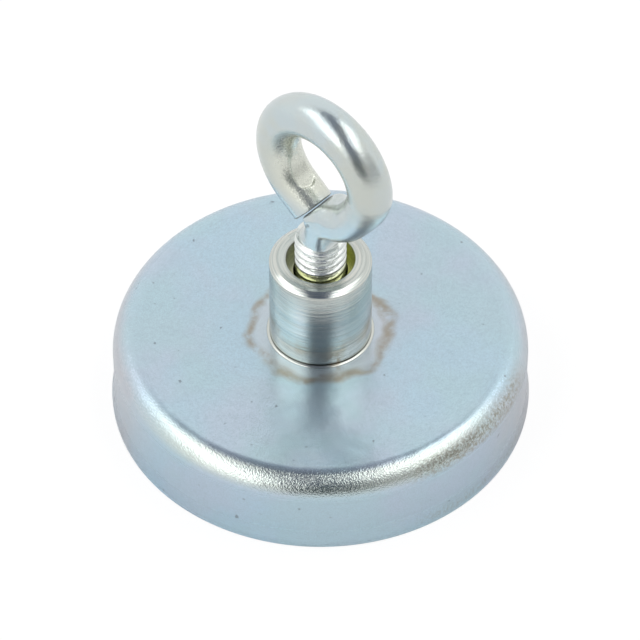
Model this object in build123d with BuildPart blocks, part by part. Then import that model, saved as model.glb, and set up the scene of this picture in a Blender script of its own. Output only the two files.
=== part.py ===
# Ferrite pot magnet with a screwed-in eye bolt, in millimetres, +Z up.
# The origin is the middle of the holding face, and the eye lies in the XZ plane.
from build123d import *
from math import cos, radians, sin, tan
import os

# Deep-drawn steel cup, open side down
cup_diameter = 32.0
cup_height = 6.85
sheet_thickness = 1.25
edge_radius = 2.0
inner_corner = 0.5
foot_flare = 0.17
foot_height = 0.35
waist_depth = 0.04
waist_height = 1.9
rim_edge_radius = 0.15

# Ferrite disc, and the resin that bonds it into the cup
disc_gap = 0.55
disc_recess = 0.10
disc_chamfer = 0.30
resin_film = 0.12
resin_recess = 0.45

# Turned steel bush, welded on the cup
bush_diameter = 7.75
bush_length = 7.8
bush_chamfer_width = 0.42
bush_chamfer_height = 0.33
counterbore_diameter = 5.2
counterbore_depth = 1.2
bore_run_out = 1.0
drill_point_angle = 118.0
weld_bead_width = 0.28
weld_bead_height = 0.15

# Metric M4 coarse thread of the eye bolt
thread_major_diameter = 3.9
thread_pitch = 0.7
thread_depth = 0.39
thread_crest_width = 0.12
thread_root_width = 0.56
thread_clearance = 0.12
thread_engagement = 3.85
thread_exposed = 2.60
thread_end_chamfer = 0.45
thread_lead_in = 0.36

# Allowances that make one solid of the ridge and its core
ridge_sink = 0.05
ridge_trim = 0.10

# Eye, bent from round wire
wire_diameter = 3.35
eye_radius = 4.56
eye_offset = 0.36

# Neck and elbow, where the die bent the wire over
neck_length = 0.35
notch_height = 0.80
notch_reach = 1.08
elbow_angle = 53.5
elbow_squeeze = 1.25
elbow_spread = 0.35
round_angle = 94.0

# Where the die pressed the right limb, by angle from the eye's lowest point:
# angle, shift outwards, squeeze in the eye's plane, spread across it
die_marks = (
    (27, 0.09, 0.26, 0.24),
    (44, -0.13, 0.22, 0.15),
    (58, -0.25, 0.26, 0.12),
    (76, -0.10, 0.12, 0.05),
)

# Sheared end of the wire, and the mandrel's imprint beside it
end_start_angle = -36.5
end_length = 4.0
end_gap = 0.14
end_chamfer = 0.10
imprint_angle = -40.5
imprint_fade_angle = -82.0
imprint_depth = 0.22
imprint_width = 1.72
mandrel_radius = 2.2

# Radii, heights and angles worked out from the sizes above
foot_radius = cup_diameter / 2
wall_radius = foot_radius - foot_flare
waist_radius = wall_radius - waist_depth
inner_radius = waist_radius - sheet_thickness
floor_height = cup_height - sheet_thickness
disc_radius = inner_radius - disc_gap
disc_top = floor_height - resin_film
bush_radius = bush_diameter / 2
bush_top = cup_height + bush_length
counterbore_radius = counterbore_diameter / 2
counterbore_floor = bush_top - counterbore_depth
major_radius = thread_major_diameter / 2
root_radius = major_radius - thread_depth
bore_radius = major_radius + thread_clearance
shank_bottom = counterbore_floor - thread_engagement
thread_top = bush_top + thread_exposed
notch_floor = thread_top + neck_length
bore_floor = shank_bottom - bore_run_out
drill_point = bore_floor - bore_radius / tan(radians(drill_point_angle / 2))
wire_radius = wire_diameter / 2
notch_top = notch_floor + notch_height
eye_height = notch_top + wire_radius + eye_radius
eye_top_angle = 180.0
eye_axis = Axis((eye_offset, 0, eye_height), (0, -1, 0))
imprint_radius = eye_radius - wire_radius + imprint_depth
elbow_thickness = wire_diameter - elbow_squeeze
elbow_width = wire_diameter + elbow_spread
elbow_turn = radians(elbow_angle)


def wire_plane(angle, radius):
    """Plane square to the wire, at an angle from the eye's lowest point towards +X."""
    turn = radians(angle)
    place = (eye_offset + radius * sin(turn), 0, eye_height - radius * cos(turn))
    return Plane(origin=place, x_dir=(0, 1, 0), z_dir=(cos(turn), 0, sin(turn)))


def above_notch(lift):
    """Point at a lift from the notch's inner corner, square to the elbow."""
    return notch_reach - lift * sin(elbow_turn), 0, notch_top + lift * cos(elbow_turn)


# Cup: one revolved section, slightly waisted above its flared foot
with BuildPart() as steel_cup:
    with BuildSketch(Plane.XZ) as cup_section:
        with BuildLine():
            Polyline(
                (0, cup_height),
                (wall_radius, cup_height),
                (waist_radius, waist_height),
                (foot_radius, foot_height),
                (foot_radius, 0),
                (inner_radius, 0),
                (inner_radius, floor_height),
                (0, floor_height),
                close=True,
            )
        make_face()
        outer_edge = cup_section.vertices().sort_by_distance((wall_radius, cup_height))[0]
        fillet(outer_edge, edge_radius)
        inner_edge = cup_section.vertices().sort_by_distance((inner_radius, floor_height))[0]
        fillet(inner_edge, inner_corner)
        rim_edge = cup_section.vertices().sort_by_distance((foot_radius, 0))[0]
        fillet(rim_edge, rim_edge_radius)
    revolve(axis=Axis.Z)

# Ferrite disc, a little inside the rim
with BuildPart() as ferrite_disc:
    with BuildSketch(Plane.XY.offset(disc_recess)):
        Circle(disc_radius)
    extrude(amount=disc_top - disc_recess)
    chamfer(ferrite_disc.edges(), disc_chamfer)

# Resin: a film above the disc and a ring round it
with BuildPart() as bonding_resin:
    with BuildSketch(Plane.XZ):
        with BuildLine():
            Polyline(
                (0, floor_height),
                (inner_radius - inner_corner, floor_height),
                (inner_radius, floor_height - inner_corner),
                (inner_radius, resin_recess),
                (disc_radius, resin_recess),
                (disc_radius, disc_top - disc_chamfer),
                (disc_radius - disc_chamfer, disc_top),
                (0, disc_top),
                close=True,
            )
        make_face()
    revolve(axis=Axis.Z)

# Bush with its chamfer, weld bead, counterbore and bore
with BuildPart() as threaded_bush:
    with BuildSketch(Plane.XZ):
        with Locations((bush_radius, cup_height)):
            Ellipse(weld_bead_width, weld_bead_height)
        with Locations((bush_radius, cup_height)):
            Rectangle(bush_diameter, bush_diameter, align=(Align.CENTER, Align.MAX), mode=Mode.SUBTRACT)
        with BuildLine():
            Polyline(
                (0, cup_height),
                (bush_radius, cup_height),
                (bush_radius, bush_top - bush_chamfer_height),
                (bush_radius - bush_chamfer_width, bush_top),
                (0, bush_top),
                close=True,
            )
        make_face()
    revolve(axis=Axis.Z)
    with BuildSketch(Plane.XZ):
        with BuildLine():
            Polyline(
                (0, bush_top),
                (counterbore_radius, bush_top),
                (counterbore_radius, counterbore_floor),
                (bore_radius, counterbore_floor),
                (bore_radius, bore_floor),
                (0, drill_point),
                close=True,
            )
        make_face()
    revolve(axis=Axis.Z, mode=Mode.SUBTRACT)

# Thread: one ridge swept along its helix, trimmed to the shank's two ends
with BuildPart() as thread_ridge:
    with BuildLine(mode=Mode.PRIVATE) as helix:
        Helix(
            pitch=thread_pitch,
            height=thread_lead_in + thread_top - shank_bottom + thread_pitch,
            radius=root_radius,
            center=(0, 0, shank_bottom - thread_lead_in),
        )
    with BuildSketch(Plane(origin=helix.line @ 0, x_dir=(1, 0, 0), z_dir=helix.line % 0)):
        with BuildLine():
            Polyline(
                (-ridge_sink, -thread_root_width / 2),
                (0, -thread_root_width / 2),
                (thread_depth, -thread_crest_width / 2),
                (thread_depth, thread_crest_width / 2),
                (0, thread_root_width / 2),
                (-ridge_sink, thread_root_width / 2),
                close=True,
            )
        make_face()
    sweep(path=helix.line, is_frenet=True)
    with BuildSketch(Plane.XZ):
        with BuildLine():
            Polyline(
                (0, shank_bottom),
                (major_radius - thread_end_chamfer, shank_bottom),
                (major_radius + ridge_trim, shank_bottom + thread_end_chamfer + ridge_trim),
                (major_radius + ridge_trim, thread_top),
                (0, thread_top),
                close=True,
            )
        make_face()
    revolve(axis=Axis.Z, mode=Mode.INTERSECT)

with BuildPart() as eye_bolt:
    # Left limb, from the top of the eye down to the sheared end
    with BuildSketch(wire_plane(eye_top_angle, eye_radius)):
        Circle(wire_radius)
    revolve(axis=eye_axis, revolution_arc=eye_top_angle + end_start_angle)
    with BuildSketch(wire_plane(end_start_angle, eye_radius)):
        Circle(wire_radius)
    extrude(amount=end_length)
    # The shear's cut runs along the outside of the elbow, a narrow gap away
    shear_plane = Plane(
        origin=above_notch(elbow_thickness + end_gap),
        x_dir=(0, 1, 0),
        z_dir=(sin(elbow_turn), 0, -cos(elbow_turn)),
    )
    with BuildSketch(shear_plane):
        Rectangle(2 * end_length + wire_diameter, 2 * end_length + wire_diameter)
    extrude(amount=end_length, mode=Mode.SUBTRACT)
    chamfer(eye_bolt.edges().sort_by_distance(shear_plane.origin)[0], end_chamfer)
    # Imprint of the mandrel on the inside of this limb, fading upwards from a round lower end
    imprint_plane = wire_plane(imprint_angle, imprint_radius)
    mandrel_place = wire_plane(imprint_angle, imprint_radius - mandrel_radius).origin
    with BuildSketch(imprint_plane):
        Rectangle(imprint_width, 2 * imprint_depth, align=(Align.CENTER, Align.MIN))
    revolve(
        axis=Axis(mandrel_place, (0, 1, 0)),
        revolution_arc=imprint_angle - imprint_fade_angle,
        mode=Mode.SUBTRACT,
    )
    with BuildSketch(Plane(origin=imprint_plane.origin, x_dir=(0, 1, 0), z_dir=imprint_plane.y_dir)):
        Circle(imprint_width / 2)
        Rectangle(imprint_width, imprint_width, align=(Align.CENTER, Align.MIN), mode=Mode.SUBTRACT)
    extrude(amount=2 * imprint_depth, mode=Mode.SUBTRACT)
    # Right limb, round from the last die mark up to the top
    with BuildSketch(wire_plane(round_angle, eye_radius)):
        Circle(wire_radius)
    revolve(axis=eye_axis, revolution_arc=eye_top_angle - round_angle)
    # Neck and elbow, drawn out into the right limb
    for height in (thread_top, notch_floor):
        with BuildSketch(Plane(origin=(0, 0, height), x_dir=(0, 1, 0), z_dir=(0, 0, 1))):
            Circle(wire_radius)
    elbow_plane = Plane(
        origin=above_notch(elbow_thickness / 2),
        x_dir=(0, 1, 0),
        z_dir=(cos(elbow_turn), 0, sin(elbow_turn)),
    )
    with BuildSketch(elbow_plane):
        Ellipse(elbow_width / 2, elbow_thickness / 2)
    for angle, shift, squeeze, spread in die_marks:
        with BuildSketch(wire_plane(angle, eye_radius + shift)):
            Ellipse((wire_diameter + spread) / 2, (wire_diameter - squeeze) / 2)
    with BuildSketch(wire_plane(round_angle, eye_radius)):
        Circle(wire_radius)
    loft()
    # Notch that the die left on the inside of the bend
    with BuildSketch(Plane.XZ):
        with Locations((notch_reach, notch_floor)):
            Rectangle(wire_diameter, notch_height, align=(Align.MIN, Align.MIN))
    extrude(amount=wire_diameter, both=True, mode=Mode.SUBTRACT)
    # Shank and its thread
    with BuildSketch(Plane.XY.offset(shank_bottom)):
        Circle(root_radius)
    extrude(amount=thread_top - shank_bottom)
    add(thread_ridge.part)

steel_cup.part.label = "steel_cup"
ferrite_disc.part.label = "ferrite_disc"
bonding_resin.part.label = "bonding_resin"
threaded_bush.part.label = "threaded_bush"
eye_bolt.part.label = "eye_bolt"

os.makedirs("parts", exist_ok=True)
export_step(steel_cup.part, "parts/steel_cup.step")
export_step(ferrite_disc.part, "parts/ferrite_disc.step")
export_step(bonding_resin.part, "parts/bonding_resin.step")
export_step(threaded_bush.part, "parts/threaded_bush.step")
export_step(eye_bolt.part, "parts/eye_bolt.step")
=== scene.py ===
"""Looks of a ferrite pot magnet with an eye bolt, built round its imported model."""
import logging
import math
from dataclasses import dataclass, field
from enum import Enum
from typing import Any, Dict, List, Optional, Sequence, Tuple, Union

import bpy
import numpy as np
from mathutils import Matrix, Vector


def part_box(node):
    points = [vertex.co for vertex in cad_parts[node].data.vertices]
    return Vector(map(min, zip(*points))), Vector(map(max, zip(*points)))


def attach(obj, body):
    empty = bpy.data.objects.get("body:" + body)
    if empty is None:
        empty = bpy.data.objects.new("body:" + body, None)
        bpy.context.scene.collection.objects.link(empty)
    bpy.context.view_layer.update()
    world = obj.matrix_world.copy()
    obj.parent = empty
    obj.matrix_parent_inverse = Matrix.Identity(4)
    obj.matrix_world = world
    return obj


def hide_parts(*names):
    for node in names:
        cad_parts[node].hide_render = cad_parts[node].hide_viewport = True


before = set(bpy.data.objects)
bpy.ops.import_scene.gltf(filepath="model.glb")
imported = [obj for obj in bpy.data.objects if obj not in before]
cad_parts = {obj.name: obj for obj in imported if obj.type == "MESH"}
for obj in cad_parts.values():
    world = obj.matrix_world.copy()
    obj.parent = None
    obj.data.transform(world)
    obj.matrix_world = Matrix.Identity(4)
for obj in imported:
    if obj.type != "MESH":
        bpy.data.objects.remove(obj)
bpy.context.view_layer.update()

log = logging.getLogger("pot_magnet")

MM = 0.001
BODY = "root"
Colour = Tuple[float, float, float]
Point2 = Tuple[float, float]
Point3 = Tuple[float, float, float]
Window = Tuple[float, float, float, float]


class Operation(Enum):
    """What the Math and Vector Math nodes of the materials do."""

    ADD = "ADD"
    SUBTRACT = "SUBTRACT"
    MULTIPLY = "MULTIPLY"
    DIVIDE = "DIVIDE"
    ABSOLUTE = "ABSOLUTE"
    MAXIMUM = "MAXIMUM"
    COSINE = "COSINE"
    ARCTAN2 = "ARCTAN2"
    LENGTH = "LENGTH"
    DISTANCE = "DISTANCE"
    DOT = "DOT_PRODUCT"


class Value:
    """One number or vector in a shader. Python's operators on it add Math nodes."""

    def __init__(self, graph: "Graph", socket: bpy.types.NodeSocket) -> None:
        """Keep the output socket that carries the value, and the graph that makes its nodes."""
        self.graph = graph
        self.socket = socket

    def _math(self, operation: Operation, *values: "Input", clamp: bool = False) -> "Value":
        """Add a Math node on the given values."""
        settings = {"operation": operation.value, "use_clamp": clamp}
        return self.graph.node("ShaderNodeMath", settings, dict(enumerate(values)))

    def __add__(self, other: "Input") -> "Value":
        """Add a number or a value."""
        return self._math(Operation.ADD, self, other)

    def __radd__(self, other: "Input") -> "Value":
        """Add this value to a number."""
        return self._math(Operation.ADD, other, self)

    def __sub__(self, other: "Input") -> "Value":
        """Take a number or a value away."""
        return self._math(Operation.SUBTRACT, self, other)

    def __rsub__(self, other: "Input") -> "Value":
        """Take this value away from a number."""
        return self._math(Operation.SUBTRACT, other, self)

    def __mul__(self, other: "Input") -> "Value":
        """Multiply by a number or a value."""
        return self._math(Operation.MULTIPLY, self, other)

    def __rmul__(self, other: "Input") -> "Value":
        """Multiply a number by this value."""
        return self._math(Operation.MULTIPLY, other, self)

    def __truediv__(self, other: "Input") -> "Value":
        """Divide by a number or a value."""
        return self._math(Operation.DIVIDE, self, other)

    def __abs__(self) -> "Value":
        """Drop the sign."""
        return self._math(Operation.ABSOLUTE, self)

    def most(self, other: "Input") -> "Value":
        """Take the larger of two."""
        return self._math(Operation.MAXIMUM, self, other)

    def cosine(self) -> "Value":
        """Take the cosine of an angle in radians."""
        return self._math(Operation.COSINE, self)

    def clamped(self) -> "Value":
        """Keep the value between 0 and 1."""
        return self._math(Operation.ADD, self, 0.0, clamp=True)

    def rise(self, low: float, high: float) -> "Value":
        """Rise smoothly from 0 at low to 1 at high, or fall if high is the smaller.

        Args:
            low: Where the result is 0.
            high: Where the result is 1.

        Returns:
            The smooth step as a value.
        """
        first, last, start, end = (low, high, 0.0, 1.0) if low < high else (high, low, 1.0, 0.0)
        sockets = {"Value": self, "From Min": first, "From Max": last, "To Min": start, "To Max": end}
        return self.graph.node("ShaderNodeMapRange", {"interpolation_type": "SMOOTHSTEP"}, sockets)

    def window(self, low: float, full: float, still: float, high: float) -> "Value":
        """Rise from 0 at low to 1 at full, and fall from 1 at still to 0 at high."""
        return self.rise(low, full) * self.rise(high, still)

    def band(self, centre: "Input", width: float) -> "Value":
        """Make a soft line, 1 where this value meets the centre and 0 from a width away on."""
        return abs(self - centre).rise(width, 0.0)


Input = Union[int, float, Sequence[float], Value]


class Graph:
    """A node tree, and the one way in which its nodes are made."""

    def __init__(self, tree: bpy.types.NodeTree) -> None:
        """Start on the emptied tree of a material or of the world."""
        self.tree = tree
        tree.nodes.clear()

    def node(
        self,
        kind: str,
        settings: Optional[Dict[str, Any]] = None,
        sockets: Optional[Dict[Union[int, str], Input]] = None,
        output: Union[int, str] = 0,
    ) -> Value:
        """Add a node.

        Args:
            kind: Blender's name of the node's type.
            settings: The node's own properties, set before its sockets.
            sockets: A number, a colour or a value for each input that is used.
            output: The output that the result stands for.

        Returns:
            The chosen output as a value.
        """
        made = self.tree.nodes.new(kind)
        for name, setting in (settings or {}).items():
            setattr(made, name, setting)
        for key, given in (sockets or {}).items():
            target = made.inputs[key]
            if isinstance(given, Value):
                self.tree.links.new(given.socket, target)
            elif isinstance(given, (int, float)):
                target.default_value = given
            else:
                padding = (1.0,) * (len(target.default_value) - len(given))
                target.default_value = tuple(given) + padding
        return Value(self, made.outputs[output] if made.outputs else None)

    def mix(self, factor: Input, first: Input, second: Input) -> Value:
        """Mix two colours, where the factor is the share of the second."""
        settings = {"data_type": "RGBA", "clamp_factor": True}
        return self.node("ShaderNodeMix", settings, {0: factor, 6: first, 7: second}, output=2)

    def vector(self, operation: Operation, *vectors: Input) -> Value:
        """Join vectors into a vector."""
        return self.node("ShaderNodeVectorMath", {"operation": operation.value}, dict(enumerate(vectors)))

    def measure(self, operation: Operation, *vectors: Input) -> Value:
        """Take one number from vectors, such as their dot product or a length."""
        sockets = dict(enumerate(vectors))
        return self.node("ShaderNodeVectorMath", {"operation": operation.value}, sockets, output="Value")

    def parts(self, vector: Value) -> Tuple[Value, Value, Value]:
        """Split a vector into its three numbers.

        Args:
            vector: The vector.

        Returns:
            Its x, y and z.
        """
        split = self.node("ShaderNodeSeparateXYZ", sockets={0: vector})
        outputs = split.socket.node.outputs
        return tuple(Value(self, outputs[axis]) for axis in "XYZ")

    def point(self, x: Input, y: Input, z: Input) -> Value:
        """Join three numbers into a vector."""
        return self.node("ShaderNodeCombineXYZ", sockets={0: x, 1: y, 2: z})

    def noise(self, place: Value, per_mm: float, detail: float = 2.0, rough: float = 0.5) -> Value:
        """Make soft noise near 0.5, with the given count and strength of finer layers."""
        sockets = {"Vector": place, "Scale": per_mm, "Detail": detail, "Roughness": rough}
        return self.node("ShaderNodeTexNoise", sockets=sockets)

    def bump(self, height: Value, distance: float, under: Optional[Value] = None) -> Value:
        """Turn a height into a normal.

        Args:
            height: The height, from 0 to 1.
            distance: How high a height of 1 stands, in metres.
            under: A normal that this one is added to.

        Returns:
            The bumped normal.
        """
        sockets = {"Strength": 1.0, "Distance": distance, "Height": height}
        if under is not None:
            sockets["Normal"] = under
        return self.node("ShaderNodeBump", sockets=sockets)


@dataclass(frozen=True)
class Place:
    """What a finish reads of the point that it colours, all in the part's frame."""

    graph: Graph
    spot: Value
    x: Value
    y: Value
    z: Value
    radius: Value
    angle: Value
    steepness: Value

    @classmethod
    def of(cls, graph: Graph) -> "Place":
        """Add the nodes that measure the point.

        Args:
            graph: The material's graph.

        Returns:
            The point in millimetres, its distance from the axis, its angle and how upright its face is.
        """
        coordinates = graph.node("ShaderNodeTexCoord", output="Object")
        spot = graph.vector(Operation.MULTIPLY, coordinates, (1 / MM, 1 / MM, 1 / MM))
        x, y, z = graph.parts(spot)
        radius = graph.measure(Operation.LENGTH, graph.point(x, y, 0.0))
        angle = graph.node("ShaderNodeMath", {"operation": Operation.ARCTAN2.value}, {0: y, 1: x})
        normal = graph.node("ShaderNodeNewGeometry", output="Normal")
        upright = graph.parts(normal)[2]
        return cls(graph, spot, x, y, z, radius, angle, upright)

    def near(self, target: Point3, reach: float) -> Value:
        """Make a soft spot round a target that ends at a given reach, both in millimetres."""
        return self.graph.measure(Operation.DISTANCE, self.spot, target).rise(reach, 0.0)


@dataclass(frozen=True)
class Cloud:
    """A soft pattern of noise, cut off between two levels."""

    per_mm: float
    detail: float
    rough: float
    low: float
    high: float
    shift: Point3 = (0.0, 0.0, 0.0)

    def mask(self, place: Place) -> Value:
        """Make the pattern: 0 where the noise is at the low level or under it, 1 from the high one on."""
        spot = place.graph.vector(Operation.ADD, place.spot, self.shift)
        return place.graph.noise(spot, self.per_mm, self.detail, self.rough).rise(self.low, self.high)


@dataclass(frozen=True)
class Finish:
    """A finish of the part. Each kind paints its own colour, gloss and relief."""

    name: str

    def material(self) -> bpy.types.Material:
        """Make the material.

        Returns:
            The finished material.
        """
        made = bpy.data.materials.new(self.name)
        made.use_nodes = True
        graph = Graph(made.node_tree)
        sockets = self.paint(Place.of(graph))
        shader = graph.node("ShaderNodeBsdfPrincipled", sockets=sockets)
        graph.node("ShaderNodeOutputMaterial", sockets={"Surface": shader})
        return made

    def paint(self, place: Place) -> Dict[str, Input]:
        """Say what each of the shader's sockets gets at the point that is coloured."""
        raise NotImplementedError


@dataclass(frozen=True)
class PlatedSheet(Finish):
    """Blue-passivated zinc on the drawn cup, with grain on its stretched edge and a weld's tide mark."""

    blue: Colour = (0.465, 0.615, 0.715)
    lilac: Colour = (0.500, 0.588, 0.685)
    cyan: Colour = (0.455, 0.615, 0.665)
    # Pink sheen of the plating, painted on the wall's two flanks.
    pink_sheen: Colour = (0.560, 0.560, 0.585)
    dull: Colour = (0.40, 0.50, 0.56)
    sand: Colour = (0.37, 0.46, 0.50)
    speck: Colour = (0.20, 0.24, 0.27)
    halo: Colour = (0.60, 0.60, 0.62)
    tide: Colour = (0.33, 0.295, 0.235)
    bare: Colour = (0.62, 0.66, 0.59)
    stain: Colour = (0.30, 0.29, 0.24)
    clouds: Cloud = Cloud(0.11, 3.0, 0.55, 0.38, 0.62)
    drift: Cloud = Cloud(0.17, 2.0, 0.5, 0.40, 0.64, (37.0, 11.0, 5.0))
    flush: Cloud = Cloud(0.16, 2.0, 0.5, 0.30, 0.60)
    grit: Cloud = Cloud(9.0, 2.0, 0.6, 0.40, 0.66)
    specks: Cloud = Cloud(1.3, 1.0, 0.5, 0.745, 0.80)
    patches: Cloud = Cloud(0.7, 3.0, 0.6, 0.22, 0.62, (3.0, 8.0, 1.0))
    blotches: Cloud = Cloud(4.2, 4.0, 0.8, 0.40, 0.60)
    rose_angle: float = math.radians(42.5)
    bare_angle: float = math.radians(-47.5)
    stain_angle: float = math.radians(4.0)
    top_height: Point2 = (6.6, 6.8)
    halo_edge: Point2 = (5.9, 4.6)
    tide_radius: float = 4.5
    tide_width: float = 0.68
    tide_wobble: float = 1.5
    tide_corners: float = 0.14
    top_roughness: float = 0.25
    wall_roughness: float = 0.30
    edge_roughness: float = 0.12
    flat_metal: float = 0.82
    wave_height: float = 0.05 * MM
    grain_height: float = 0.04 * MM

    def paint(self, place: Place) -> Dict[str, Input]:
        """Paint the plating, its grain, its specks and the tide mark round the weld.

        Args:
            place: The point that is coloured.

        Returns:
            The shader's sockets by name.
        """
        graph = place.graph
        upright = place.steepness.rise(0.5, 0.98)
        fine = graph.noise(place.spot, 2.6, 3.0, 0.6)
        stretched = place.steepness.window(0.02, 0.25, 0.90, 0.995)
        colour = self._plating(place, upright, fine)
        colour = self._tide_mark(place, colour)
        colour = self._worn_edge(place, stretched, colour)
        grain = graph.noise(place.spot, 7.5, 2.0, 0.6)
        waves = graph.noise(place.spot, 0.45, 1.0)
        soft = graph.bump(waves, self.wave_height)
        flat = (1.0 - upright) * self.wall_roughness + upright * self.top_roughness
        return {
            "Base Color": colour,
            "Metallic": stretched * (1.0 - self.flat_metal) + self.flat_metal,
            "Roughness": flat + stretched * (self.edge_roughness - flat) + (fine - 0.5) * 0.08,
            "Normal": graph.bump(grain * (stretched * 0.90 + 0.10), self.grain_height, under=soft),
        }

    def _plating(self, place: Place, upright: Value, fine: Value) -> Value:
        """Mix the plating's hues, and paint its pink sheen on the wall's two flanks.

        Args:
            place: The point that is coloured.
            upright: 1 on the cup's top and 0 on its wall.
            fine: The plating's fine noise.

        Returns:
            The colour of the plating.
        """
        mix = place.graph.mix
        colour = mix(self.clouds.mask(place), self.blue, self.lilac)
        colour = mix(self.drift.mask(place) * 0.7, colour, self.cyan)
        # Painted sheen: the plating's pink tint at grazing angles, painted on the wall's two flanks across
        # the view.
        sheen_flanks = ((place.angle - self.rose_angle) * 2.0).cosine().rise(0.1, 0.9)
        colour = mix(sheen_flanks * (1.0 - upright) * (self.flush.mask(place) * 0.5 + 0.48), colour, self.pink_sheen)
        colour = mix(fine.rise(0.35, 0.75) * 0.20, colour, self.dull)
        colour = mix(self.grit.mask(place) * 0.34, colour, self.sand)
        return mix(self.specks.mask(place) * 0.7, colour, self.speck)

    def _tide_mark(self, place: Place, colour: Value) -> Value:
        """Lay the pale halo and the brown tide mark round the weld.

        Args:
            place: The point that is coloured.
            colour: The plating's colour.

        Returns:
            The colour with both on it.
        """
        graph = place.graph
        wobble = graph.noise(place.spot, 0.42, 2.0) * self.tide_wobble
        corners = (place.angle * 6.0 + 0.6).cosine() * self.tide_corners
        on_top = place.z.rise(*self.top_height)
        colour = graph.mix(place.radius.rise(*self.halo_edge) * on_top * 0.45, colour, self.halo)
        tide = place.radius.band(wobble + corners + self.tide_radius, self.tide_width) * on_top
        return graph.mix(tide * self.patches.mask(place) * 0.9, colour, self.tide)

    def _worn_edge(self, place: Place, stretched: Value, colour: Value) -> Value:
        """Thin the plating on the stretched edge's front, and stain it at the right.

        Args:
            place: The point that is coloured.
            stretched: 1 on the rounded edge.
            colour: The plating's colour.

        Returns:
            The colour with the wear on it.
        """
        front = (place.angle - self.bare_angle).cosine().rise(0.35, 0.85)
        thinned = stretched * place.steepness.rise(0.15, 0.60) * front
        colour = place.graph.mix(thinned * 0.75, colour, self.bare)
        right = (place.angle - self.stain_angle).cosine().rise(0.86, 0.97)
        worn = right * place.steepness.window(0.06, 0.30, 0.60, 0.93) * self.blotches.mask(place)
        return place.graph.mix(worn * 0.9, colour, self.stain)


@dataclass(frozen=True)
class TurnedSteel(Finish):
    """Zinc on the turned bush, with the lathe's fine rings, painted shade and a painted yellow-green glow
    in its counterbore, and a painted shadow line in the groove above the weld.
    """

    base: Colour = (0.52, 0.57, 0.55)
    pale: Colour = (0.66, 0.66, 0.61)
    line: Colour = (0.36, 0.39, 0.37)
    # Dark yellow-green painted in the bore, for its shade and its glow.
    bore_glow_and_shade: Colour = (0.30, 0.32, 0.08)
    stain: Colour = (0.30, 0.24, 0.16)
    # Near-black painted shade, for the bore and for the groove above the weld.
    groove: Colour = (0.05, 0.05, 0.05)
    smear: Cloud = Cloud(1.6, 2.0, 0.5, 0.40, 0.60)
    smear_place: Point3 = (3.1, -1.9, 7.4)
    bore_edge: Point2 = (2.67, 2.60)
    tint_depth: Point2 = (14.6, 13.7)
    tint_side: Point2 = (-1.2, 1.8)
    groove_height: float = 7.03
    groove_width: float = 0.10
    groove_edge: Point2 = (3.95, 3.85)
    roughness: float = 0.15
    line_height: float = 0.018 * MM

    def paint(self, place: Place) -> Dict[str, Input]:
        """Paint the turned surface and its rings, with painted shade and a yellow-green glow in the
        counterbore and a painted shadow line in the groove above the weld.

        Args:
            place: The point that is coloured.

        Returns:
            The shader's sockets by name.
        """
        graph = place.graph
        upright = place.steepness.rise(0.3, 0.9)
        across = (1.0 - upright) * place.z + upright * place.radius
        lines = graph.noise(graph.point(place.angle * 0.35, across * 5.0, 0.0), 1.0, 4.0, 0.7)
        bands = graph.noise(graph.point(place.angle * 0.2, across * 2.2, 3.0), 1.0, 2.0)
        colour = graph.mix(bands.rise(0.35, 0.70), self.base, self.pale)
        colour = graph.mix(lines.rise(0.44, 0.60) * 0.45, colour, self.line)
        # Painted shade and glow: the bore is darkened, then tinted dark yellow-green deeper down and on
        # its right.
        inside = place.radius.rise(*self.bore_edge)
        deep = place.z.rise(*self.tint_depth) * 0.4 + (place.x + place.y).rise(*self.tint_side) * 0.5
        colour = graph.mix(inside * 0.5, colour, self.groove)
        colour = graph.mix(inside * deep, colour, self.bore_glow_and_shade)
        # Painted shadow: a near-black line in the groove between the bush and the weld bead.
        edge = place.z.band(self.groove_height, self.groove_width) * place.radius.rise(*self.groove_edge)
        colour = graph.mix(edge * 0.9, colour, self.groove)
        smear = place.near(self.smear_place, 1.0) * self.smear.mask(place)
        return {
            "Base Color": graph.mix(smear, colour, self.stain),
            "Metallic": 1.0,
            "Roughness": self.roughness + lines * 0.10,
            "Anisotropic": 0.4,
            "Anisotropic Rotation": 0.25,
            "Normal": graph.bump(lines, self.line_height),
        }


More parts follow.
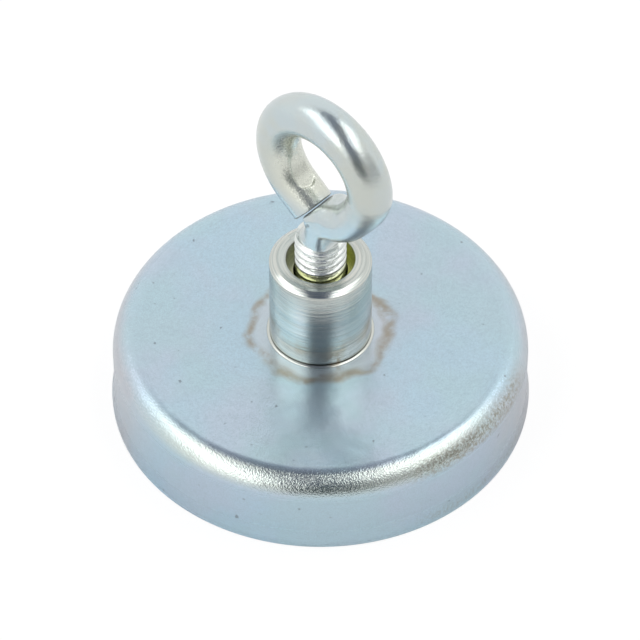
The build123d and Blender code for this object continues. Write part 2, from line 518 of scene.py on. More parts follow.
@dataclass(frozen=True)
class DrawnWire(Finish):
    """Zinc on the bent wire and its rolled thread, with painted shadow in the slit where the wire was
    sheared and under its sheared end.
    """

    cut_place: Point2
    cut_turn: float
    ring_centre: Point2
    base: Colour = (0.560, 0.610, 0.600)
    warm: Colour = (0.570, 0.592, 0.530)
    cool: Colour = (0.545, 0.620, 0.635)
    rubbed: Colour = (0.690, 0.705, 0.620)
    rolled: Colour = (0.740, 0.770, 0.750)
    dull: Colour = (0.42, 0.46, 0.46)
    # Painted shade and yellow-green glow on the thread inside the bush's counterbore.
    bore_glow_and_shade: Colour = (0.42, 0.45, 0.12)
    # Near-black painted shadow, in the slit and under the sheared end.
    mark: Colour = (0.12, 0.12, 0.12)
    clouds: Cloud = Cloud(0.28, 3.0, 0.5, 0.38, 0.62)
    drift: Cloud = Cloud(0.26, 3.0, 0.5, 0.44, 0.64, (9.0, 31.0, 7.0))
    thread_height: Point2 = (17.5, 17.2)
    tint_height: Point2 = (14.55, 14.15)
    slit_depth: Window = (-0.06, -0.01, 0.13, 0.19)
    slit_side: Point2 = (0.80, 0.40)
    slit_height: Point2 = (19.3, 19.7)
    rubbed_ring: Point2 = (4.7, 3.5)
    rubbed_side: Point2 = (0.9, -0.6)
    rubbed_height: Point2 = (19.0, 20.0)
    # Two spots of painted shadow on the neck's front, under the sheared end.
    shadow_reach: float = 0.26
    marks: Tuple[Point3, ...] = ((0.05, -1.67, 19.42), (0.26, -1.67, 19.64))
    roughness: float = 0.11
    fine_height: float = 0.014 * MM
    grain_height: float = 0.018 * MM

    def paint(self, place: Place) -> Dict[str, Input]:
        """Paint the plated wire, rubbed on its left limb's inside, with painted shade and a yellow-green
        glow low on its thread, and painted shadow by the sheared end.

        Args:
            place: The point that is coloured.

        Returns:
            The shader's sockets by name.
        """
        graph = place.graph
        colour = graph.mix(self.clouds.mask(place), self.base, self.cool)
        colour = graph.mix(self.drift.mask(place) * 0.75, colour, self.warm)
        centre_x, centre_z = self.ring_centre
        ring = graph.measure(Operation.LENGTH, graph.point(place.x - centre_x, 0.0, place.z - centre_z))
        inner = ring.rise(*self.rubbed_ring) * place.x.rise(*self.rubbed_side)
        inner = inner * place.z.rise(*self.rubbed_height)
        colour = graph.mix(inner * 0.9, colour, self.rubbed)
        colour = graph.mix(place.z.rise(*self.thread_height), colour, self.rolled)
        # Painted shade and glow: the thread turns dark yellow-green below the bush's top.
        colour = graph.mix(place.z.rise(*self.tint_height) * 0.8, colour, self.bore_glow_and_shade)
        # Painted shadow: near-black in the slit beside the sheared end, and in two spots under it.
        colour = graph.mix(self._slit_shadow(place) * 0.92, colour, self.mark)
        for target in self.marks:
            colour = graph.mix(place.near(target, self.shadow_reach) * 0.8, colour, self.mark)
        fine = graph.noise(place.spot, 3.0, 3.0, 0.6)
        grain = graph.noise(place.spot, 8.5, 2.0, 0.6)
        soft = graph.bump(fine, self.fine_height)
        return {
            "Base Color": graph.mix(grain.rise(0.40, 0.75) * 0.16, colour, self.dull),
            "Metallic": 0.82,
            "Roughness": self.roughness + fine * 0.08 + inner * 0.12,
            "Normal": graph.bump(grain, self.grain_height, under=soft),
        }

    def _slit_shadow(self, place: Place) -> Value:
        """Find the two walls of the slit beside the sheared end, where a shadow is painted.

        Args:
            place: The point that is coloured.

        Returns:
            1 on the walls.
        """
        sine, cosine = math.sin(self.cut_turn), math.cos(self.cut_turn)
        past_cut = (place.x - self.cut_place[0]) * sine - (place.z - self.cut_place[1]) * cosine
        walls = past_cut.window(*self.slit_depth)
        return walls * place.x.rise(*self.slit_side) * place.z.rise(*self.slit_height)


@dataclass(frozen=True)
class GroundFerrite(Finish):
    """Dark sintered ferrite with a ground face."""

    dark: Colour = (0.030, 0.031, 0.034)
    light: Colour = (0.075, 0.077, 0.082)
    black: Colour = (0.010, 0.010, 0.011)
    pores: Cloud = Cloud(4.0, 2.0, 0.5, 0.66, 0.74)
    relief: float = 0.012 * MM

    def paint(self, place: Place) -> Dict[str, Input]:
        """Paint the grinding marks and the pores.

        Args:
            place: The point that is coloured.

        Returns:
            The shader's sockets by name.
        """
        graph = place.graph
        marks = graph.noise(graph.point(place.x * 0.25, place.y * 7.0, place.z), 1.0, 4.0, 0.7)
        pores = self.pores.mask(place)
        colour = graph.mix(marks.rise(0.3, 0.75), self.dark, self.light)
        colour = graph.mix(pores * 0.8, colour, self.black)
        return {
            "Base Color": colour,
            "Metallic": 0.0,
            "Roughness": 0.38 + marks * 0.25,
            "Normal": graph.bump(marks - pores * 0.6, self.relief),
        }


@dataclass(frozen=True)
class CuredResin(Finish):
    """Dark bonding resin that ran into the gap round the disc."""

    base: Colour = (0.020, 0.019, 0.018)
    dusty: Colour = (0.06, 0.055, 0.05)
    relief: float = 0.10 * MM

    def paint(self, place: Place) -> Dict[str, Input]:
        """Paint the resin's uneven skin.

        Args:
            place: The point that is coloured.

        Returns:
            The shader's sockets by name.
        """
        graph = place.graph
        skin = graph.noise(place.spot, 1.2, 3.0, 0.6)
        colour = graph.mix(skin.rise(0.4, 0.8) * 0.6, self.base, self.dusty)
        return {
            "Base Color": colour,
            "Metallic": 0.0,
            "Roughness": 0.22 + skin * 0.3,
            "Normal": graph.bump(skin, self.relief),
        }


def mesh_object(name: str, points: np.ndarray, faces: List[List[int]]) -> bpy.types.Object:
    """Make a smooth mesh object and put it in the scene.

    Args:
        name: The object's name.
        points: The corners, in millimetres.
        faces: The corners of each face, by number.

    Returns:
        The new object, in metres.
    """
    mesh = bpy.data.meshes.new(name)
    mesh.from_pydata((points * MM).tolist(), [], faces)
    mesh.shade_smooth()
    made = bpy.data.objects.new(name, mesh)
    bpy.context.scene.collection.objects.link(made)
    return made


def spun_object(
    name: str, radius: np.ndarray, height: np.ndarray, tips: Point2, sharp_angle: float
) -> bpy.types.Object:
    """Make a closed mesh of rings of corners round the part's axis.

    Args:
        name: The object's name.
        radius: Each corner's distance from the axis, one row for each ring.
        height: Each corner's height, in the same rows.
        tips: The heights on the axis before the first ring and after the last.
        sharp_angle: The angle between two faces from which their edge is sharp.

    Returns:
        The new object, in metres.
    """
    rings, across = radius.shape
    turn = np.linspace(0.0, 2.0 * math.pi, across, endpoint=False)
    corners = np.stack([radius * np.cos(turn), radius * np.sin(turn), height], axis=-1).reshape(-1, 3)
    points = np.vstack([corners, [(0.0, 0.0, tip) for tip in tips]])
    side = np.arange(across)
    following = (side + 1) % across
    lower = across * np.arange(rings - 1)[:, None]
    upper = lower + across
    walls = np.stack([lower + side, lower + following, upper + following, upper + side], axis=-1)
    first, last = np.full(across, rings * across), np.full(across, rings * across + 1)
    top = (rings - 1) * across
    faces = walls.reshape(-1, 4).tolist()
    faces += np.stack([first, following, side], axis=-1).tolist()
    faces += np.stack([last, top + side, top + following], axis=-1).tolist()
    made = mesh_object(name, points, faces)
    made.data.set_sharp_from_angle(angle=sharp_angle)
    return made


@dataclass
class Outline:
    """Half of a turned section: points by radius and height, in millimetres, from the axis outwards."""

    points: List[Point2] = field(default_factory=list)

    def to(self, radius: float, height: float) -> "Outline":
        """Draw a straight line to a point, and give this outline back."""
        self.points.append((radius, height))
        return self

    def round(self, centre: Point2, size: Point2, start: float, end: float, steps: int) -> "Outline":
        """Draw an arc, or part of an ellipse.

        Args:
            centre: The arc's centre.
            size: Its radius outwards and upwards.
            start: Where it starts, in degrees from outwards towards up.
            end: Where it ends, in degrees.
            steps: How many lines stand for it.

        Returns:
            This outline.
        """
        for step in range(steps + 1):
            turn = math.radians(start + (end - start) * step / steps)
            self.to(centre[0] + size[0] * math.cos(turn), centre[1] + size[1] * math.sin(turn))
        return self


@dataclass
class TurnedPiece:
    """A piece made by turning an outline that starts and ends on the part's axis."""

    name: str
    segments: int = 256
    sharp_angle: float = math.radians(28)

    def outline(self) -> Outline:
        """Draw the piece's half section."""
        raise NotImplementedError

    def build(self) -> bpy.types.Object:
        """Turn the outline into a closed mesh.

        Returns:
            The new object, in metres.
        """
        points = np.array(self.outline().points)[::-1]
        rings = points[1:-1]
        shape = (len(rings), self.segments)
        radius = np.broadcast_to(rings[:, :1], shape)
        height = np.broadcast_to(rings[:, 1:], shape)
        return spun_object(self.name, radius, height, (points[0][1], points[-1][1]), self.sharp_angle)


@dataclass
class CupShell(TurnedPiece):
    """The drawn cup: flat top, rounded edge, slightly waisted wall and flared foot."""

    name: str = "cup_shell"
    segments: int = 384
    diameter: float = 32.0
    height: float = 6.85
    sheet: float = 1.25
    edge_radius: float = 2.0
    inner_corner: float = 0.5
    foot_flare: float = 0.17
    foot_height: float = 0.35
    waist_depth: float = 0.04
    waist_height: float = 1.9
    rim_round: float = 0.15
    flat_rings: Point2 = (4.0, 8.0)
    ring_steps: Point2 = (1.2, 0.1)
    flare_shares: Tuple[float, ...] = (0.2, 0.4, 0.6, 0.8)
    flare_power: float = 1.6
    edge_steps: int = 28
    corner_steps: int = 6

    @classmethod
    def fitted(cls) -> "CupShell":
        """Take the cup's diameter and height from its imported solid."""
        low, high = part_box("steel_cup")
        return cls(diameter=(high.x - low.x) / MM, height=high.z / MM)

    def outline(self) -> Outline:
        """Draw the sheet's section from the middle of the top, over the edge and back inside.

        Returns:
            The half section.
        """
        foot = self.diameter / 2
        wall = foot - self.foot_flare
        waist = wall - self.waist_depth
        inner = waist - self.sheet
        floor = self.height - self.sheet
        edge = self.edge_radius
        near, far = self.flat_rings
        shape = Outline().to(0.0, self.height).to(near, self.height).to(far, self.height)
        for step in self.ring_steps:
            shape.to(wall - edge - step, self.height)
        shape.round((wall - edge, self.height - edge), (edge, edge), 90, 0, self.edge_steps)
        shape.to(wall - 0.002, self.height - edge - 0.1).to(waist, self.waist_height)
        for share in self.flare_shares:
            drop = (self.waist_height - self.foot_height) * share
            shape.to(waist + (foot - waist) * share**self.flare_power, self.waist_height - drop)
        rim, corner = self.rim_round, self.inner_corner
        shape.to(foot, self.foot_height).to(foot, rim + 0.02)
        shape.round((foot - rim, rim), (rim, rim), 0, -90, self.corner_steps)
        shape.to(inner, 0.0).to(inner, floor - corner - 0.05)
        shape.round((inner - corner, floor - corner), (corner, corner), 0, 90, self.corner_steps)
        return shape.to(far, floor).to(0.0, floor)


@dataclass
class BushBody(TurnedPiece):
    """The turned bush with its chamfer, its weld and its counterbored hole."""

    name: str = "bush_body"
    segments: int = 256
    foot: float = 6.85
    top: float = 14.65
    radius: float = 3.875
    chamfer: Point2 = (0.42, 0.33)
    edge_break: float = 0.03
    groove: Point2 = (0.10, 0.13)
    bead: Point2 = (0.23, 0.12)
    counterbore: Point2 = (2.60, 1.2)
    bore_radius: float = 2.07
    bore_depth: float = 6.05
    tip_depth: float = 7.29
    wall_ring: float = 1.2

    @classmethod
    def fitted(cls) -> "BushBody":
        """Take the bush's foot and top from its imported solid."""
        low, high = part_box("threaded_bush")
        return cls(foot=low.z / MM, top=high.z / MM)

    def outline(self) -> Outline:
        """Draw the section from the drill's tip up the hole, over the top and down to the weld.

        Returns:
            The half section.
        """
        wide, deep = self.counterbore
        across, down = self.chamfer
        small = self.edge_break
        floor = self.top - deep
        shape = Outline().to(0.0, self.top - self.tip_depth)
        shape.to(self.bore_radius, self.top - self.bore_depth).to(self.bore_radius, floor)
        shape.to(wide, floor).to(wide, self.top - small).to(wide + small, self.top)
        shape.to(self.radius - across - 0.02, self.top)
        shape.to(self.radius - across + 0.01, self.top - 0.006)
        shape.to(self.radius - 0.01, self.top - down + 0.006)
        shape.to(self.radius, self.top - down - 0.02)
        shape.to(self.radius, self.foot + self.wall_ring)
        cut, rise = self.groove
        shape.to(self.radius, self.foot + rise + 0.06).to(self.radius - cut, self.foot + rise)
        width, height = self.bead
        shape.round((self.radius, self.foot), (width, height), 96, 0, 10)
        return shape.to(0.0, self.foot)


def smooth_run(stations: Sequence[Point3], steps: int = 12) -> np.ndarray:
    """Draw a smooth curve through stations.

    Args:
        stations: Each station's x, its z and the rounding of the wire's edge there.
        steps: How many points are made between two stations.

    Returns:
        The curve's points, one row each.
    """
    given = np.array(stations, float)
    padded = np.vstack([2 * given[0] - given[1], given, 2 * given[-1] - given[-2]])
    share = np.linspace(0.0, 1.0, steps, endpoint=False)[:, None]
    runs = []
    for before, start, end, after in zip(padded, padded[1:], padded[2:], padded[3:]):
        bend = 2 * before - 5 * start + 4 * end - after
        twist = 3 * start - before - 3 * end + after
        runs.append(start + 0.5 * ((end - before) * share + bend * share**2 + twist * share**3))
    return np.vstack(runs + [given[-1:]])


def outline_distance(x: np.ndarray, z: np.ndarray, outline: np.ndarray) -> Tuple[np.ndarray, np.ndarray]:
    """Measure how far points are from a closed outline.

    Args:
        x: The points' x.
        z: The points' z.
        outline: The outline's corners, each with the rounding of the edge there.

    Returns:
        The distances, negative inside, and the rounding at the nearest place of the outline.
    """
    nearest = np.full(x.shape, np.inf)
    rounding = np.zeros(x.shape)
    inside = np.zeros(x.shape, bool)
    for (x0, z0, r0), (x1, z1, r1) in zip(outline, np.roll(outline, -1, axis=0)):
        along, up = x1 - x0, z1 - z0
        length = max(along * along + up * up, 1e-12)
        share = np.clip(((x - x0) * along + (z - z0) * up) / length, 0.0, 1.0)
        gap = (x - x0 - share * along) ** 2 + (z - z0 - share * up) ** 2
        closer = gap < nearest
        nearest = np.where(closer, gap, nearest)
        rounding = np.where(closer, r0 + (r1 - r0) * share, rounding)
        if up != 0.0:
            inside ^= ((z0 > z) != (z1 > z)) & (x < x0 + along * (z - z0) / up)
    return np.where(inside, -1.0, 1.0) * np.sqrt(nearest), rounding


def rounded_meet(first: np.ndarray, second: np.ndarray, rounding: Union[float, np.ndarray]) -> np.ndarray:
    """Keep what two solids share, with a rounded edge.

    Args:
        first: Distances to the first solid, negative inside.
        second: Distances to the second.
        rounding: The edge's radius.

    Returns:
        Distances to the solid that both share.
    """
    over, across = first + rounding, second + rounding
    beyond = np.hypot(np.maximum(over, 0.0), np.maximum(across, 0.0))
    return beyond + np.minimum(np.maximum(over, across), 0.0) - rounding


@dataclass
class DistanceGrid:
    """A box of points, a step apart, in which a solid is given by distances to its skin."""

    low: Point3
    high: Point3
    step: float

    def axis(self, index: int) -> np.ndarray:
        """List the places of the grid's points along an axis, which is given by number."""
        count = math.ceil((self.high[index] - self.low[index]) / self.step) + 1
        return self.low[index] + self.step * np.arange(count)

    def skin(self, solid: np.ndarray) -> Tuple[np.ndarray, np.ndarray]:
        """Lay a mesh of four-sided faces on the solid's skin.

        Args:
            solid: The distance at each of the grid's points.

        Returns:
            The mesh's corners, and the four corners of each face.
        """
        number, corners = self._corners(solid)
        faces = []
        for axis in range(3):
            following, last = (axis + 1) % 3, (axis + 2) % 3
            near = [slice(1, -1)] * 3
            near[axis] = slice(0, -1)
            far = list(near)
            far[axis] = slice(1, None)
            starts_inside = solid[tuple(near)] < 0.0
            crossed = np.argwhere(starts_inside != (solid[tuple(far)] < 0.0))
            ring = []
            for back, under in ((0, 0), (1, 0), (1, 1), (0, 1)):
                cell = crossed.copy()
                cell[:, following] += back
                cell[:, last] += under
                ring.append(number[tuple(cell.T)])
            face = np.stack(ring, axis=1)
            backwards = ~starts_inside[tuple(crossed.T)]
            face[backwards] = face[backwards][:, ::-1]
            faces.append(face)
        return corners, np.vstack(faces)

    def _corners(self, solid: np.ndarray) -> Tuple[np.ndarray, np.ndarray]:
        """Put one corner in each cell that the skin passes, where it crosses the cell's edges on average.

        Args:
            solid: The distance at each of the grid's points.

        Returns:
            The number of each cell's corner, or -1, and the corners.
        """
        shape = tuple(count - 1 for count in solid.shape)
        crossings = np.zeros(shape)
        place = np.zeros(shape + (3,))
        for start in np.ndindex(2, 2, 2):
            for axis in range(3):
                if start[axis]:
                    continue
                end = tuple(1 if index == axis else side for index, side in enumerate(start))
                first, second = self._shifted(solid, start), self._shifted(solid, end)
                crosses = (first < 0.0) != (second < 0.0)
                share = np.where(crosses, first / np.where(crosses, first - second, 1.0), 0.0)
                crossings += crosses
                place[..., axis] += share
                place += crosses[..., None] * np.array(start)
        used = crossings > 0
        number = np.full(shape, -1)
        number[used] = np.arange(used.sum())
        inner = place[used] / crossings[used][:, None]
        return number, np.array(self.low) + self.step * (np.argwhere(used) + inner)

    @staticmethod
    def _shifted(solid: np.ndarray, start: Tuple[int, ...]) -> np.ndarray:
        """Take the grid's points that are one given corner of each cell."""
        return solid[tuple(slice(side, count - 1 + side) for side, count in zip(start, solid.shape))]

    def normals(self, solid: np.ndarray, points: np.ndarray) -> np.ndarray:
        """Read the directions in which the distances grow fastest.

        Args:
            solid: The distance at each of the grid's points.
            points: Where the directions are wanted.

        Returns:
            One unit vector for each point.
        """
        slopes = np.stack(np.gradient(solid, self.step), axis=-1)
        place = (points - np.array(self.low)) / self.step
        cell = np.floor(place).astype(int)
        share = place - cell
        total = np.zeros(points.shape)
        for side in np.ndindex(2, 2, 2):
            weight = np.prod(np.where(side, share, 1.0 - share), axis=1)
            total += slopes[tuple((cell + side).T)] * weight[:, None]
        return total / np.linalg.norm(total, axis=1)[:, None]


@dataclass
class EyeWire:
    """The eye: wire bent into a ring, pressed flat where it leaves the thread, and sheared off there.

    The wire is drawn as outlines in the eye's plane, whose edges are rounded by up to the wire's radius.
    """

    name: str = "eye_wire"
    centre: Point2 = (0.36, 24.635)
    ring_radius: float = 4.56
    wire_radius: float = 1.675
    neck_foot: float = 17.17
    foot_rounding: float = 1.0
    foot_drop: float = 2.0
    outer_arc: Point2 = (205.0, 96.0)
    inner_arc: Point2 = (92.0, 205.0)
    ring_steps: Tuple[int, int] = (220, 140)
    limb_steps: Tuple[int, int] = (260, 200)
    grid_step: float = 0.085
    elbow_turn: float = math.radians(53.5)
    cut_place: Point2 = (-0.72, 19.73)
    cut_rounding: float = 0.10
    limb_angle: float = -36.5
    limb_length: float = 4.0
    imprint_angle: float = math.radians(-40.5)
    imprint_radius: float = 3.105
    imprint_half_width: float = 0.86
    mandrel_radius: float = 2.45
    outside: Tuple[Point3, ...] = (
        (6.575, 24.45, 1.675),
        (6.43, 23.75, 1.66),
        (6.17, 23.05, 1.55),
        (5.80, 22.30, 1.35),
        (5.32, 21.56, 1.15),
        (4.60, 20.62, 0.95),
        (3.90, 19.98, 0.82),
        (3.15, 19.50, 0.72),
        (2.40, 19.20, 0.62),
        (1.90, 19.00, 0.56),
        (1.55, 18.84, 0.50),
    )
    notch: Tuple[Point3, ...] = (
        (1.46, 18.72, 0.50),
        (1.42, 18.20, 0.62),
        (1.44, 17.70, 0.80),
        (1.54, 17.28, 1.00),
        (1.70, 17.20, 1.10),
    )
    neck: Tuple[Point3, ...] = (
        (-1.55, 17.20, 1.50),
        (-1.42, 17.45, 1.40),
        (-1.10, 17.95, 1.35),
        (-0.78, 18.40, 1.25),
        (-0.58, 18.90, 1.00),
        (-0.48, 19.50, 0.60),
    )
    saddle: Tuple[Point3, ...] = (
        (-0.38, 19.98, 0.30),
        (0.00, 20.50, 0.55),
        (0.45, 21.12, 0.90),
        (0.95, 21.60, 1.10),
        (1.55, 21.88, 1.30),
        (2.15, 22.28, 1.45),
        (2.60, 22.93, 1.50),
        (2.97, 23.70, 1.60),
    )

    @classmethod
    def fitted(cls) -> "EyeWire":
        """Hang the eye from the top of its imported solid."""
        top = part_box("eye_bolt")[1].z / MM
        return cls(centre=(cls.centre[0], top - cls.ring_radius - cls.wire_radius))

    def build(self) -> bpy.types.Object:
        """Mesh the eye.

        Returns:
            The new object, with normals read from the distances.
        """
        step = self.grid_step
        middle, height = self.centre
        reach = self.ring_radius + self.wire_radius + 2 * step
        depth = self.wire_radius + 3 * step
        low = (middle - reach, -depth, self.neck_foot - 2 * step)
        grid = DistanceGrid(low, (middle + reach, depth, height + reach), step)
        solid = self._solid(grid)
        points, faces = grid.skin(solid)
        made = mesh_object(self.name, points, faces.tolist())
        made.data.normals_split_custom_set_from_vertices(grid.normals(solid, points).tolist())
        return made

    def _solid(self, grid: DistanceGrid) -> np.ndarray:
        """Measure the distance to the eye at each point of a grid.

        Args:
            grid: The grid.

        Returns:
            The distances, negative inside.
        """
        x, z = np.meshgrid(grid.axis(0), grid.axis(2), indexing="ij")
        depth = np.abs(grid.axis(1))[None, :, None] - self.wire_radius
        parts = []
        for outline in (self._bent_outline(), self._limb_outline()):
            distance, rounding = outline_distance(x, z, outline)
            parts.append(rounded_meet(distance[:, None, :], depth, rounding[:, None, :]))
        bent, limb = parts
        place_x, place_z = self.cut_place
        cut = (x - place_x) * math.sin(self.elbow_turn) - (z - place_z) * math.cos(self.elbow_turn)
        limb = rounded_meet(limb, cut[:, None, :], self.cut_rounding)
        limb = np.maximum(limb, -self._imprint(x, z, grid.axis(1)))
        bent = np.maximum(bent, (self.neck_foot - z)[:, None, :])
        return np.minimum(bent, limb)

    def _arc(self, radius: float, start: float, end: float, steps: int) -> np.ndarray:
        """Draw an arc round the eye's centre.

        Args:
            radius: The arc's radius.
            start: Where it starts, in degrees from the eye's lowest point towards +X.
            end: Where it ends, in degrees.
            steps: How many points stand for it.

        Returns:
            The arc's points with the rounding of the wire's edge.
        """
        turns = np.radians(np.linspace(start, end, steps))
        x = self.centre[0] + radius * np.sin(turns)
        z = self.centre[1] - radius * np.cos(turns)
        return np.stack([x, z, np.full(steps, self.wire_radius)], axis=1)

    def _bent_outline(self) -> np.ndarray:
        """Draw the right side of the eye, its elbow, its notch and its neck.

        Returns:
            The closed outline.
        """
        outer = self._arc(self.ring_radius + self.wire_radius, *self.outer_arc, self.ring_steps[0])
        inner = self._arc(self.ring_radius - self.wire_radius, *self.inner_arc, self.ring_steps[1])
        under = self.neck_foot - self.foot_drop
        foot = [(x, under, self.foot_rounding) for x in (self.notch[-1][0], self.neck[0][0])]
        down = [outer, smooth_run(self.outside), smooth_run(self.notch), foot]
        return np.vstack(down + [smooth_run(self.neck), smooth_run(self.saddle), inner])

    def _limb_outline(self) -> np.ndarray:
        """Draw the left side of the eye down to past the shear's cut.

        Returns:
            The closed outline.
        """
        start = -self.outer_arc[0]
        outer = self._arc(self.ring_radius + self.wire_radius, self.limb_angle, start, self.limb_steps[0])
        inner = self._arc(self.ring_radius - self.wire_radius, start, self.limb_angle, self.limb_steps[1])
        turn = math.radians(self.limb_angle)
        onwards = np.array([math.cos(turn), math.sin(turn), 0.0]) * self.limb_length
        return np.vstack([inner, inner[-1] + onwards, outer[0] + onwards, outer])

    def _imprint(self, x: np.ndarray, z: np.ndarray, y: np.ndarray) -> np.ndarray:
        """Measure the distance to the mandrel's imprint, which ends in a half circle and fades upwards.

        Args:
            x: The grid's x, by column and row.
            z: Its z.
            y: Its places across the wire.

        Returns:
            The distances, negative where the mandrel was.
        """
        sine, cosine = math.sin(self.imprint_angle), math.cos(self.imprint_angle)
        along = (x - self.centre[0]) * cosine + (z - self.centre[1]) * sine
        outwards = (x - self.centre[0]) * sine - (z - self.centre[1]) * cosine
        below = outwards - self.imprint_radius
        mandrel = np.hypot(along, below + self.mandrel_radius) - self.mandrel_radius
        depth = np.where(along < 0.0, mandrel, below)
        side = np.hypot(np.maximum(along, 0.0)[:, None, :], y[None, :, None]) - self.imprint_half_width
        return np.maximum(depth[:, None, :], side)


@dataclass
class ThreadedShank:
    """The eye bolt's shank with its rolled right-hand thread."""

    name: str = "thread_shank"
    bottom: float = 9.6
    top: float = 17.25
    pitch: float = 0.7
    major_radius: float = 1.95
    depth: float = 0.36
    crest: float = 0.14
    flank: float = 0.23
    end_chamfer: float = 0.45
    top_chamfer: float = 0.12
    across: int = 144
    row: float = 0.045
    sharp_angle: float = math.radians(50)

    @classmethod
    def fitted(cls) -> "ThreadedShank":
        """Take the shank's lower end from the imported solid."""
        return cls(bottom=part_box("eye_bolt")[0].z / MM)

    def build(self) -> bpy.types.Object:
        """Mesh the shank as rows of corners whose distance from the axis follows the thread.

        Returns:
            The new object.
        """
        rows = math.ceil((self.top - self.bottom) / self.row)
        places = np.linspace(self.bottom, self.top, rows + 1)
        turns = np.linspace(0.0, 2.0 * math.pi, self.across, endpoint=False)
        height, turn = np.meshgrid(places, turns, indexing="ij")
        return spun_object(
            self.name, self._radius(height, turn), height, (self.bottom, self.top), self.sharp_angle
        )

    def _radius(self, height: np.ndarray, turn: np.ndarray) -> np.ndarray:
        """Work out the thread's distance from the axis.

        Args:
            height: The height of each corner.
            turn: Its angle round the axis.

        Returns:
            The radius there.
        """
        place = (height - self.bottom) / self.pitch - turn / (2.0 * math.pi)
        from_crest = np.abs((place % 1.0) - 0.5) * self.pitch
        share = np.clip((self.crest / 2 + self.flank - from_crest) / self.flank, 0.0, 1.0)
        ridge = 0.5 * share + 0.5 * share * share * (3.0 - 2.0 * share)
        radius = self.major_radius - self.depth * (1.0 - ridge)
        lead_in = self.major_radius - self.end_chamfer + (height - self.bottom)
        lead_out = self.major_radius - self.top_chamfer + (self.top - height)
        return np.minimum(radius, np.minimum(lead_in, lead_out))


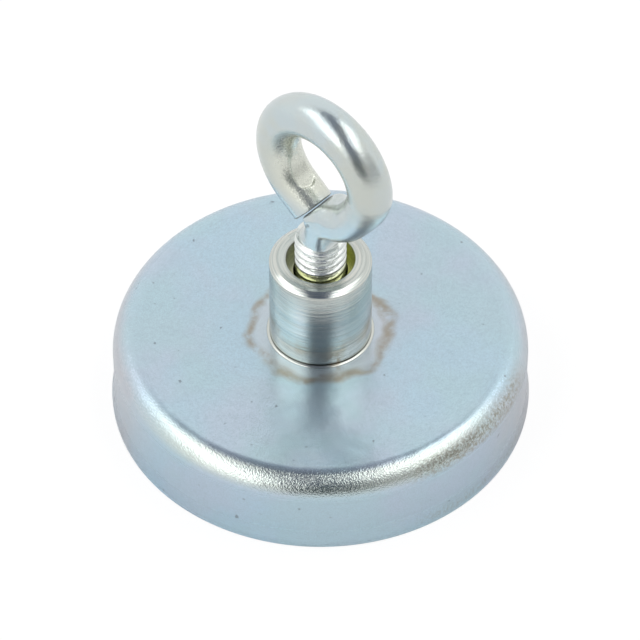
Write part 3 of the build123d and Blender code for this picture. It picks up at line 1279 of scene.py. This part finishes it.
@dataclass(frozen=True)
class Studio:
    """The pale floor, the bright room, the two soft boxes and the photograph's camera."""

    azimuth: float = math.radians(42.48)
    elevation: float = math.radians(47.31)
    distance: float = 0.4197
    lens: float = 311.25
    sensor: float = 36.0
    aim_height: float = 7.82 * MM
    aim_aside: float = -0.04 * MM
    floor_side: float = 3000.0
    floor_grey: Colour = (0.90, 0.90, 0.90)
    floor_glow: float = 1.04
    floor_share: float = 0.85
    white: Colour = (1.0, 1.0, 1.0)
    room: float = 1.05
    box_level: float = 2.5
    horizon: float = 0.01
    left_side: Window = (-0.82, -0.74, -0.42, -0.34)
    left_height: Window = (0.26, 0.34, 0.84, 0.90)
    left_ahead: Point2 = (-0.35, -0.25)
    right_across: Window = (0.22, 0.30, 0.75, 0.85)
    right_along: Window = (-0.50, -0.42, 0.70, 0.80)
    gap_side: Point2 = (0.38, 0.30)
    gap_ahead: Point2 = (-0.08, 0.06)
    gap_lean: float = 0.55
    gap_heights: Point2 = (0.35, 0.65)
    gap_low: Colour = (0.07, 0.09, 0.10)
    gap_high: Colour = (0.13, 0.15, 0.20)
    dim_side: Point2 = (0.30, 0.40)
    dim_ahead: Point2 = (0.0, 0.2)
    dim_height: Window = (-0.02, 0.02, 0.48, 0.60)
    dim_level: float = 0.50

    def towards_camera(self) -> Vector:
        """Give the level direction from the part to the camera."""
        return Vector((math.sin(self.azimuth), -math.cos(self.azimuth), 0.0))

    def rightwards(self) -> Vector:
        """Give the level direction towards the picture's right."""
        return Vector((math.cos(self.azimuth), math.sin(self.azimuth), 0.0))

    def place_camera(self) -> None:
        """Make the camera and look at the part as the photograph does."""
        data = bpy.data.cameras.new("photo_camera")
        data.lens = self.lens
        data.sensor_width = self.sensor
        data.clip_start = 0.01
        data.clip_end = 10.0
        camera = bpy.data.objects.new("photo_camera", data)
        aim = self.rightwards() * self.aim_aside + Vector((0.0, 0.0, self.aim_height))
        level = self.towards_camera() * math.cos(self.elevation)
        offset = level + Vector((0.0, 0.0, math.sin(self.elevation)))
        camera.location = aim + offset * self.distance
        camera.rotation_euler = (-offset).to_track_quat("-Z", "Y").to_euler()
        bpy.context.scene.collection.objects.link(camera)
        bpy.context.scene.camera = camera

    def light_room(self) -> None:
        """Make the world: white to the camera, and a bright room with a dark front to everything else."""
        world = bpy.data.worlds.new("studio")
        bpy.context.scene.world = world
        world.use_nodes = True
        graph = Graph(world.node_tree)
        direction = graph.node("ShaderNodeTexCoord", output="Generated")
        aside = graph.measure(Operation.DOT, direction, self.rightwards())
        ahead = graph.measure(Operation.DOT, direction, self.towards_camera())
        height = graph.parts(direction)[2]
        gap = abs(aside).rise(*self.gap_side) * (ahead + height * self.gap_lean).rise(*self.gap_ahead)
        across, along = (part / height.most(self.horizon) for part in (aside, ahead))
        right = across.window(*self.right_across) * along.window(*self.right_along)
        left = aside.window(*self.left_side) * height.window(*self.left_height)
        left = left * ahead.rise(*self.left_ahead)
        dim = aside.rise(*self.dim_side) * height.window(*self.dim_height) * ahead.rise(*self.dim_ahead)
        boxes = (left + right).clamped() * (self.box_level - self.room)
        dark = graph.mix(height.rise(*self.gap_heights), self.gap_low, self.gap_high)
        colour = graph.mix((gap - right - left).clamped(), self.white, dark)
        level = boxes + self.room - dim * self.dim_level
        lit = graph.node("ShaderNodeBackground", sockets={"Color": colour, "Strength": level})
        seen = graph.node("ShaderNodeBackground", sockets={"Color": self.white, "Strength": 1.0})
        camera_ray = graph.node("ShaderNodeLightPath", output="Is Camera Ray")
        shown = graph.node("ShaderNodeMixShader", sockets={0: camera_ray, 1: lit, 2: seen})
        graph.node("ShaderNodeOutputWorld", sockets={"Surface": shown})

    def lay_floor(self) -> None:
        """Lay the pale floor, which keeps a faint shadow of the part."""
        half = self.floor_side / 2
        corners = [(-half, -half, 0.0), (half, -half, 0.0), (half, half, 0.0), (-half, half, 0.0)]
        floor = mesh_object("floor", np.array(corners), [[0, 1, 2, 3]])
        material = bpy.data.materials.new("pale_floor")
        material.use_nodes = True
        graph = Graph(material.node_tree)
        paper = graph.node(
            "ShaderNodeBsdfPrincipled",
            sockets={"Base Color": self.floor_grey, "Roughness": 0.9, "Specular IOR Level": 0.1},
        )
        glow = graph.node("ShaderNodeEmission", sockets={"Color": self.white, "Strength": self.floor_glow})
        camera_ray = graph.node("ShaderNodeLightPath", output="Is Camera Ray")
        share = camera_ray * self.floor_share
        shown = graph.node("ShaderNodeMixShader", sockets={0: share, 1: paper, 2: glow})
        graph.node("ShaderNodeOutputMaterial", sockets={"Surface": shown})
        floor.data.materials.append(material)


def main() -> None:
    """Build the studio and every piece, and report each."""
    logging.basicConfig(level=logging.INFO, format="%(message)s")
    studio = Studio()
    studio.place_camera()
    studio.light_room()
    studio.lay_floor()
    bpy.context.scene.view_settings.view_transform = "Standard"
    eye = EyeWire.fitted()
    wire = DrawnWire("zinc_wire", eye.cut_place, eye.elbow_turn, eye.centre).material()
    built = (
        (CupShell.fitted(), PlatedSheet("zinc_sheet").material(), "steel_cup", "cup_zinc"),
        (BushBody.fitted(), TurnedSteel("turned_zinc").material(), "threaded_bush", "bush_zinc"),
        (eye, wire, "eye_bolt", "eye_zinc"),
        (ThreadedShank.fitted(), wire, "eye_bolt", "eye_zinc"),
    )
    for piece, material, node, slot in built:
        made = piece.build()
        made.data.materials.append(material)
        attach(made, BODY)
        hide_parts(node)
        log.info("%s built, %d faces", made.name, len(made.data.polygons))
    finishes = {
        "ferrite_disc": GroundFerrite("ground_ferrite"),
        "bonding_resin": CuredResin("cured_resin"),
    }
    for node, finish in finishes.items():
        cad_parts[node].material_slots[0].material = finish.material()
        log.info("%s dressed", node)


if __name__ == "__main__":
    main()
